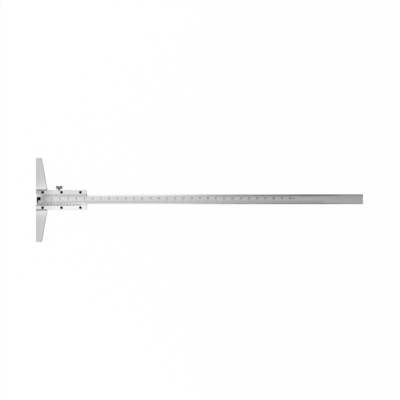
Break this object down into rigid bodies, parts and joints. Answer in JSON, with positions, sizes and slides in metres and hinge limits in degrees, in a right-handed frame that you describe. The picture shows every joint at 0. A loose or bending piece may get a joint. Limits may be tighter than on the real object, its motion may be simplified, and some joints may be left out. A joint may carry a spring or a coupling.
{
  "type": "depth gauge",
  "caption": "Vernier depth gauge: a graduated beam slides through a frame on a wide tapered foot, and a knurled lock screw holds it.",
  "frame": {"origin": "middle of the edge between the foot's measuring face and its back: the back lies in Z = 0, the measuring face in X = 0, and Y = 0 is half way along the foot", "axes": "+X away from the measuring face along the beam, +Y towards the lock screw, +Z out of the scale side"},
  "size_m": [0.3978, 0.102, 0.0105],
  "materials": {
    "beam_steel": "ground along its length, satin",
    "foot_steel": "hardened and ground, satin",
    "frame_steel": "ground, satin",
    "strip_steel": "satin chromed",
    "screw_black": "blackened steel",
    "spring_bronze": "rolled spring bronze",
    "pad_brass": "turned brass",
    "lock_steel": "knurled steel, darkened"
  },
  "bodies": {
    "head": {"measuring_foot": "foot_steel", "slider_frame": "frame_steel", "upper_guide_strip": "strip_steel", "vernier_plate": "strip_steel", "guide_screw_front": "screw_black", "guide_screw_middle": "screw_black", "guide_screw_rear": "screw_black", "vernier_screw_front": "screw_black", "vernier_screw_middle": "screw_black", "vernier_screw_rear": "screw_black", "gib_spring": "spring_bronze"},
    "beam": {"beam": "beam_steel"},
    "lock_pad": {"lock_pad": "pad_brass"},
    "lock_screw": {"lock_screw": "lock_steel"}
  },
  "joints": [
    {"name": "beam_slide", "type": "slide", "parent": "head", "child": "beam", "axis": [-1, 0, 0], "range_m": [0, 0.3024]},
    {"name": "lock_advance", "type": "slide", "parent": "head", "child": "lock_pad", "axis": [0, -1, 0], "range_m": [-0.0009, 0.00022]},
    {"name": "lock_turn", "type": "hinge", "parent": "lock_pad", "child": "lock_screw", "pos_m": [0.0282, 0.012, 0.0065], "axis": [0, -1, 0], "range_deg": [-720, 180]}
  ],
  "couplings": [
    {"joint": "lock_turn", "follows": "lock_advance", "rad_per_m": 13963}
  ]
}
